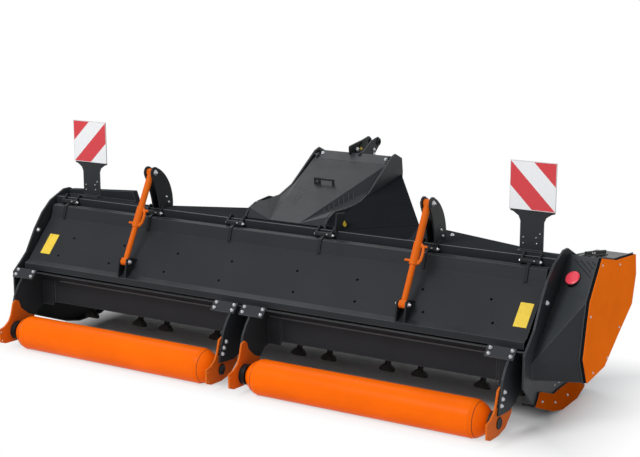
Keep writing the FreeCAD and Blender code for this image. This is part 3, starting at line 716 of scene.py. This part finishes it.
def cap_middle(node, x_end):
    """Middle of the clamp plate nearest to an end of the arms, in millimetres across."""
    # Only its points are this high and this near to the end, in metres.
    lowest, reach = 0.49, 0.3
    xs = [v.co.x for v in frame["nodes"][node].data.vertices
          if v.co.z > lowest and abs(v.co.x - x_end) < reach]
    return ((min(xs) + max(xs)) / 2 - middle.x) * 1000.0


def cap_details():
    """Domed bolts on the clamp plates and on the arms' outer faces."""
    for name in SIDES:
        node = "roller_arms_" + name
        caps, arms = [], []
        for x_end, side in ends(node):
            mid = cap_middle(node, x_end)
            caps += [above(node, mid + dx, y) for dx in (-65, 65) for y in (-438, -412)]
            arms += [beside_x(node, x_end, side, y, z)
                     for y, z in ((-497, 279), (-521, 246), (-535, 212))]
        bolts("cap_bolts_" + name, "root", caps, size=9, make=add_dome)
        bolts("arm_bolts_" + name, "root", arms, size=11, make=add_dome)


# Seams round the drums: metres in from an end, millimetres proud, and 1 for the dark one.
SEAMS = ((0.137, 0.7, 0), (0.111, 0.5, 1))
SHAFT_CAP = [(34, 0), (34, 4), (31, 6), (25, 6), (24, 4.5), (12, 4.5)]
PLATE_HOLE = [(9, 0), (9, 0.6), (7, 0.8), (2.8, 0.3)]
# Places of the setting holes, in millimetres forward and up.
PLATE_HOLES = ((-517, 287), (-546, 255), (-551, 233), (-559, 215))


def drum_seam(body, centre, x, side, proud, material):
    """Low round seam on a drum at x, as lathe takes it."""
    place, clear = Vector((x, centre.y, centre.z)), 0.3
    top = hit(body, place - DOWN * clear, DOWN)[0]
    radius = (top.z - centre.z) * 1000.0
    buried, half_foot, half_top = 2, 2.5, 1.5
    profile = [(radius - buried, -half_foot), (radius + proud, -half_top),
               (radius + proud, half_top), (radius - buried, half_foot)]
    return standing(place, (side, 0, 0)), profile, 64, True, material


def roller_details():
    """Seams on the drums, caps on the shafts' ends and setting holes in the plates, drawn as black discs (painted
    shade).
    """
    for name in SIDES:
        body = "roller_" + name
        centre = pivot(body + "_spin")
        seams = [drum_seam(body, centre, x - side * back, side, proud, material)
                 for x, side in ends(body) for back, proud, material in SEAMS]
        caps, holes = [], []
        for x, side in ends("roller_plates_" + name):
            out = (side, 0, 0)
            caps.append((standing(Vector((x, centre.y, centre.z)), out), SHAFT_CAP, 28))
            # The setting holes are black discs: painted shade in place of openings.
            holes += [(standing(at_x(x, y, z), out), PLATE_HOLE, 16) for y, z in PLATE_HOLES]
        add_set("roller_seams_" + name, body, "drum", lathe, seams,
                more=("anthracite_dark",))
        add_set("roller_end_caps_" + name, "root", "black", lathe, caps)
        add_set("plate_holes_" + name, "root", "black", lathe, holes)


def stay_details():
    """Bolts through each stay's upper and lower eyes and on the horn's plates."""
    lower_y, lower_z = -310, 624
    for name in SIDES:
        horn, swing = "horn_" + name, pivot("stay_" + name + "_swing")
        seats = [(Vector((x, swing.y, swing.z)), (side, 0, 0)) for x, side in ends(horn)]
        bolts("stay_top_bolts_" + name, "root", seats, size=12)
        low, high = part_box("stay_rod_" + name)
        mid_x = (low.x + high.x) / 2
        seats = [beside_x("stay_brackets", mid_x, side, lower_y, lower_z, clear=0.2)
                 for side in SIDES.values()]
        bolts("stay_foot_bolts_" + name, "door", seats, size=11)
        seats = [beside_x(horn, x, side, y, z)
                 for x, side in ends(horn) for y, z in ((98, 985), (120, 945))]
        bolts("horn_bolts_" + name, "root", seats, size=6)


def board_details():
    """Five bolts on each post and a thin rim round each board."""
    low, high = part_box("sign_boards")
    half = (high.z - low.z) * 1000.0 / 2
    rim = half - 3
    strips = (rectangle(-half, rim, half, half), rectangle(-half, -half, half, -rim),
              rectangle(-half, -half, -rim, half), rectangle(rim, -half, half, half))
    for name, (edge_x, side) in zip(SIDES, ends("sign_boards")):
        mid = (edge_x - middle.x) * 1000.0 - side * half
        seats = [behind("sign_posts", mid + dx, z) for dx, z in
                 ((-51, 990), (-51, 955), (28, 993), (32, 960), (50, 1018))]
        bolts("post_bolts_" + name, "root", seats, size=4, make=add_dome)
        centre = Vector((middle.x + mid / 1000.0, low.y, (low.z + high.z) / 2))
        add_set("board_rim_" + name, "root", "white", slab,
                [(facing(centre, REARWARD), strip, -1, 0.6, 0.3) for strip in strips])


# ------------------------------------------------------------------ deck, housing and door
DECK_HEIGHT = 914


def deck_details():
    """Pale edge strip (a painted highlight) and dark foot sheet (painted shade) on the deck; bolts on deck, end
    plates, skids and lid band.
    """
    deck = Matrix.Translation(at(0, 0, DECK_HEIGHT))
    # The pale strip along the deck's rear edge is a painted highlight.
    strip = rectangle(-1820, 25, 1820, 32)
    add_set("deck_highlight_strip", "root", "edge", slab,
            [(deck, strip, -1, 1.5, 0.6)])
    # The dark sheet beside the flare is painted shade, where the headstock's shadow falls on the deck.
    foot = [(312, 34), (868, 34), (862, 109), (756, 428), (404, 66), (312, 66)]
    add_set("flare_shade_sheet", "root", "flare", slab,
            [(deck, foot, -1, 4, 0.6)])
    seats = [above("deck_beam", x, y) for x, y in ((952, 367), (1056, 287), (1055, 159))]
    bolts("deck_bolts", "root", seats, size=10, make=add_dome)
    # The right plate's bolt is on its outer face, the left one's on its inner face.
    seats = [beside("side_plate_right", 1, -140, 702),
             hit("side_plate_left", at(-1700, -180, 713), (-1, 0, 0))]
    bolts("side_bolts", "root", seats, size=13, make=add_dome)
    seats = [above("headstock_top", x, y) for x, y in ((-244, 948), (246, 942))]
    bolts("band_bolts", "root", seats, size=9, make=add_dome, finish="white")
    for name, side in SIDES.items():
        seats = [beside("skid_" + name, side, y, z)
                 for y, z in ((-180, 146), (17, 83), (210, 70))]
        bolts("skid_bolts_" + name, "root", seats, size=6, make=add_dome)
        seats = [beside("side_plate_" + name, side, y, 182) for y in (24, 86)]
        bolts("side_studs_" + name, "root", seats, size=4, make=add_dome)


LENS_RIM = [(47, -14), (47, 13), (45, 15), (44, 15), (43, 14)]
LENS = [(43.5, 14), (42, 16), (32, 17.4), (16, 18.2), (2, 18.5)]


def reflector_details():
    """Round lens in a rim, tilted up a little from the reflector's own face."""
    low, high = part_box("reflector")
    centre = (low + high) / 2
    outward, tilt = Vector((0.2, -0.86, 0.46)), Vector((0.13, -0.65, 0.755))
    normal = hit("reflector", centre + outward * 0.3, -outward)[1]
    base = standing(centre, (normal + tilt).normalized())
    add_set("reflector_rim", "root", "black", lathe, [(base, LENS_RIM, 40)])
    add_set("reflector_lens", "root", "reflector", lathe, [(base, LENS, 40)])


def housing_bar():
    """Bar on a wider foot strip along the housing's top, with bolts in its right side."""
    x, rear_end, front_end = 1950, 135, 470
    start, normal = above("belt_housing", x, rear_end)
    end = above("belt_housing", x, front_end)[0]
    run = (end - start).normalized()
    turn = Matrix((run, normal.cross(run), normal)).transposed().to_4x4()
    base = Matrix.Translation((start + end) / 2) @ turn
    length = (end - start).length * 1000.0
    add_set("housing_bar", "root", "anthracite_dark", slab,
            [(base, centred(length, 12), -2, 27, 2.0), (base, centred(length, 36), -2, 5, 1.0)])
    seats = [(base @ Vector((along, -0.006, 0.013)), (1, 0, 0)) for along in (-0.07, -0.035)]
    bolts("bar_bolts", "root", seats, size=5, make=add_dome)


def housing_details():
    """Louvres, reflector, cover bolts, bar and a blank plate on the belt housing."""
    strokes = [((1890, 140), (2046, -14)), ((1937, 111), (2036, 14)),
               ((1981, 87), (2047, 21)), ((2018, 68), (2054, 32))]
    louvres("housing_louvres", "root", "belt_housing", strokes, width=8)
    reflector_details()
    seats = [beside("belt_cover", 1, y, z) for y, z in
             ((53, 906), (-105, 650), (350, 850), (200, 335), (384, 470), (-30, 310))]
    bolts("cover_bolts", "root", seats, size=5, make=add_dome)
    housing_bar()
    base = facing(*above("belt_housing", 1992, 320), up=(0.2, 1, 0))
    add_labels("housing_label", "root", [base], width=22, height=34)


# Drain holes in two rows: height, and distances from the middle to either side.
DOOR_HOLE = [(8, 0), (8, 0.5), (5, 0.6), (2, 0.2)]
DOOR_HOLES = {687: (240, 658, 1092, 1521), 583: (272, 698, 1146, 1577)}


def door_details():
    """Blank plates, and drain holes drawn as near-black discs (painted shade), on the door's long face."""
    bases = [facing(*behind("door", x, 638)) for x in (-1695, 1737)]
    add_labels("door_labels", "door", bases, width=80, height=156, inset=0.5)
    seats = [behind("door", side * x, z)
             for z, row in DOOR_HOLES.items() for x in row for side in SIDES.values()]
    # The drain holes are near-black discs on the face: painted shade in place of openings.
    add_set("door_holes", "door", "void", lathe,
            [(standing(*seat), DOOR_HOLE, 14) for seat in seats])


# ------------------------------------------------------------------ headstock and drive
def lid_details():
    """Pressed slots on the lid's middle panel and on its right side facet."""
    panel = strokes_between(((-93, 304), (-53, 283)), ((-148, 500), (-77, 464)), 8)
    louvres("lid_louvres", "lid", "lid", panel, width=9)
    facet = strokes_between(((224, 546), (253, 495)), ((162, 281), (179, 252)), 7)
    louvres("lid_side_louvres", "lid", "lid", facet, width=8)


# Outlines forward and up, in millimetres from the hinge line and the ground.
RIGHT_BRACKET = [(-6, 914), (10, 973), (18, 1028), (118, 1014), (112, 984), (172, 938),
                 (150, 926), (60, 914)]
LEFT_BRACKET = [(60, 914), (193, 940), (228, 1001), (364, 1011), (450, 988), (420, 914)]
LONG_LUG = [(946, 1272), (950, 1232), (962, 1219), (985, 1232), (1000, 1236), (1110, 1280),
            (1110, 1300), (956, 1282)]
SHORT_LUG = [(950, 1230), (954, 1216), (1000, 1225), (990, 1244), (962, 1241)]
UPPER_BOSS = [(26, -1), (26, 5), (23, 7), (17, 7), (16.5, -1)]
LOWER_BOSS = [(32, -1), (32, 6), (29, 8), (19.5, 8), (19, -1)]
LINK_BUSH = [(13, 0), (13, 10), (10, 13), (4, 13)]
LINK_CAP = [(9, 0), (9, 12), (7, 15), (3, 15)]


def bosses(name, node, y, z, profile):
    """Turned rings round the hole at both ends of a link bracket."""
    add_set(name, "root", "anthracite_dark", lathe,
            [(standing(at_x(x, y, z), (side, 0, 0)), profile, 28) for x, side in ends(node)])


def bracket_details():
    """Foot brackets beside the headstock plates, with bolts and a blank plate."""
    add_set("foot_brackets", "root", "anthracite_dark", slab,
            [(upright(400), RIGHT_BRACKET, 0, 10), (upright(-300), LEFT_BRACKET, -10, 0)])
    seats = [(at(-310, y, z), (-1, 0, 0)) for y, z in ((255, 980), (350, 985), (400, 950))]
    bolts("bracket_bolts", "root", seats, size=5, make=add_dome)
    base = facing(at(410, 110, 944), (1, 0, 0)) @ Matrix.Rotation(math.radians(40), 4, "Z")
    add_labels("bracket_label", "root", [base], width=30, height=42)


def link_details():
    """Lugs, bolts, a bush and a cap at the top link; bosses at all link holes."""
    add_set("link_lugs", "root", "anthracite_dark", slab,
            [(upright(-42), LONG_LUG, 0, 12, 1.0), (upright(30), SHORT_LUG, 0, 12, 1.0)])
    bosses("link_bosses", "top_link_plates", y=1215, z=1282, profile=UPPER_BOSS)
    seats = [hit("top_link_plates", at(200, 1150, z), (-1, 0, 0)) for z in (1236, 1204)]
    bolts("link_bolts", "root", seats, size=8)
    add_set("link_bush", "root", "white", lathe,
            [(standing(at(-30, 1038, 1249), (1, 0, 0)), LINK_BUSH)])
    add_set("link_cap", "root", "yellow", lathe,
            [(standing(at(-30, 1084, 1246), (1, 0, 0)), LINK_CAP)])
    for name in SIDES:
        bosses("lower_bosses_" + name, "lower_link_" + name, y=1090, z=597, profile=LOWER_BOSS)


def drive_details():
    """Bolts round the gearbox nose and the rotor bearing, and splines on the input stub."""
    hub = pivot("input_spin")
    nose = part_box("gearbox")[1].y
    seats = [(Vector((hub.x + x, nose, hub.z + z)), FORWARD)
             for x, z in around(count=6, radius=0.058, phase=0.5)]
    bolts("gearbox_bolts", "root", seats, size=7)

    stub_end, back, root_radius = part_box("input_shaft")[1].y, 0.036, 0.0215
    stub = Matrix.Translation((hub.x, stub_end - back, hub.z))
    rise = Matrix.Translation((0, 0, root_radius))
    turns = [Matrix.Rotation(math.radians(30 * step), 4, "Y") for step in range(12)]
    add_set("input_splines", "input_shaft", "steel", slab,
            [(stub @ turn @ rise, centred(6, 66), 0, 2.4, 0.6) for turn in turns])

    spin, clear = pivot("rotor_spin"), 0.1
    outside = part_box("rotor_bearing")[0].x - clear
    seats = [hit("rotor_bearing", Vector((outside, spin.y + y, spin.z + z)), (1, 0, 0))
             for y, z in around(count=6, radius=0.105)]
    bolts("bearing_bolts", "root", seats, size=10)


def front_details():
    """Clamping strip and bolts along the front flaps."""
    low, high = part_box("front_beam")
    height, thickness, margin, count = low.z + 0.03, 0.006, 40, 12
    width = high.x - low.x
    base = facing(Vector(((low.x + high.x) / 2, high.y, height)), FORWARD)
    strip = centred(width * 1000 - margin, 34)
    add_set("flap_strip", "root", "anthracite_dark", slab,
            [(base, strip, 0, thickness * 1000, 1.5)])
    xs = [low.x + width * (step + 0.5) / count for step in range(count)]
    seats = [(Vector((x, high.y + thickness, height)), FORWARD) for x in xs]
    bolts("flap_bolts", "root", seats, size=8)


# ------------------------------------------------------------------ stage
FLOOR_HALF_SIZE, FLOOR_DROP = 60.0, 0.001
FLOOR_COLOUR, WHITE = (0.84, 0.84, 0.84, 1), (1, 1, 1, 1)
# From where to where the floor turns white, in metres past the machine's box, across and along.
WHITENING = ((-0.3, 0.3), (-0.5, 0.05))
# Name, place in metres, width in metres and power in watts.
LAMPS = (
    ("high_left", (-5.2, 3.4, 8.0), 5.0, 170.0),
    ("rear_high", (-1.5, -6.6, 7.0), 4.0, 400.0),
    ("front_soft", (1.5, 8.0, 4.5), 5.0, 170.0),
)
# The lamps look at this height above the middle of the floor, in metres.
AIM_HEIGHT = 0.6
AMBIENT_COLOUR, AMBIENT_STRENGTH = (0.95, 0.98, 1, 1), 0.62
SENSOR_WIDTH, LENS_LENGTH = 36.0, 78.4
CAMERA_PLACE = at(4579, -7149, 2734)
LOOKS_DOWN, TURNS_LEFT = math.radians(12.243), math.radians(30.905)


def background_rays(tree):
    """1 for rays that look at the surroundings, straight, mirrored or through glass."""
    path = tree.nodes.new("ShaderNodeLightPath").outputs
    seen = path["Is Camera Ray"]
    for ray in ("Is Glossy Ray", "Is Transmission Ray"):
        either = tree.nodes.new("ShaderNodeMath")
        either.operation = "MAXIMUM"
        tree.links.new(seen, either.inputs[0])
        tree.links.new(path[ray], either.inputs[1])
        seen = either.outputs[0]
    return seen


def mix_shaders(tree, factor, first, second, output):
    """Leads a mix of two shaders to a tree's output."""
    mix = tree.nodes.new("ShaderNodeMixShader")
    for start, end in ((factor, mix.inputs["Fac"]), (first, mix.inputs[1]),
                       (second, mix.inputs[2])):
        tree.links.new(start, end)
    tree.links.new(mix.outputs["Shader"], tree.nodes[output].inputs["Surface"])


def build_floor():
    """Pale floor that keeps the shadow and turns white away from the machine."""
    mesh = bmesh.new()
    bmesh.ops.create_grid(mesh, x_segments=1, y_segments=1, size=FLOOR_HALF_SIZE)
    data = bpy.data.meshes.new("floor")
    mesh.to_mesh(data)
    mesh.free()
    floor = bpy.data.objects.new("floor", data)
    floor.location = (0, 0, cad_box[0][2] - FLOOR_DROP)
    bpy.context.scene.collection.objects.link(floor)
    finish = Finish("floor_white", roughness=0.9, specular=0.0)
    finish.shader.inputs["Base Color"].default_value = FLOOR_COLOUR
    place = finish.axes()
    beyond = []
    for axis, (start, end) in enumerate(WHITENING):
        reach = finish.maths("SUBTRACT", finish.maths("ABSOLUTE", place[axis]),
                             cad_box[1][axis])
        beyond.append(finish.spread(reach, 0.0, 1.0, start, end))
    away = finish.maths("MAXIMUM", *beyond)
    tree = finish.material.node_tree
    glow = finish.nodes.new("ShaderNodeEmission").outputs["Emission"]
    mix_shaders(tree, finish.maths("MULTIPLY", background_rays(tree), away),
                finish.shader.outputs["BSDF"], glow, "Material Output")
    floor.data.materials.append(finish.material)


def build_surroundings():
    """Even light from all round; the camera and polished pieces see plain white."""
    world = bpy.data.worlds.new("surroundings")
    bpy.context.scene.world = world
    world.use_nodes = True
    tree = world.node_tree
    ambient = tree.nodes["Background"]
    ambient.inputs["Color"].default_value = AMBIENT_COLOUR
    ambient.inputs["Strength"].default_value = AMBIENT_STRENGTH
    white = tree.nodes.new("ShaderNodeBackground")
    white.inputs["Color"].default_value = WHITE
    mix_shaders(tree, background_rays(tree), ambient.outputs["Background"],
                white.outputs["Background"], "World Output")


def add_lamp(name, place, size, power):
    """Round area lamp that looks at the machine's middle."""
    lamp = bpy.data.lights.new(name, "AREA")
    lamp.shape = "DISK"
    lamp.size = size
    lamp.energy = power
    holder = bpy.data.objects.new(name, lamp)
    aim = Vector(place) - Vector((0, 0, AIM_HEIGHT))
    holder.location = place
    holder.rotation_euler = aim.to_track_quat("Z", "Y").to_euler()
    bpy.context.scene.collection.objects.link(holder)


def build_camera():
    """Long lens from the right rear, a little above the machine."""
    camera = bpy.data.cameras.new("camera")
    camera.sensor_width = SENSOR_WIDTH
    camera.lens = LENS_LENGTH
    holder = bpy.data.objects.new("camera", camera)
    holder.location = CAMERA_PLACE
    holder.rotation_euler = (math.pi / 2 - LOOKS_DOWN, 0, TURNS_LEFT)
    bpy.context.scene.collection.objects.link(holder)
    bpy.context.scene.camera = holder


build_camera()
dress_frame()
build_rotor()
build_rear_wall()
hinge_details()
cap_details()
roller_details()
stay_details()
board_details()
deck_details()
housing_details()
door_details()
lid_details()
bracket_details()
link_details()
drive_details()
front_details()
build_floor()
build_surroundings()
for lamp in LAMPS:
    add_lamp(*lamp)
bpy.context.scene.view_settings.view_transform = "Standard"
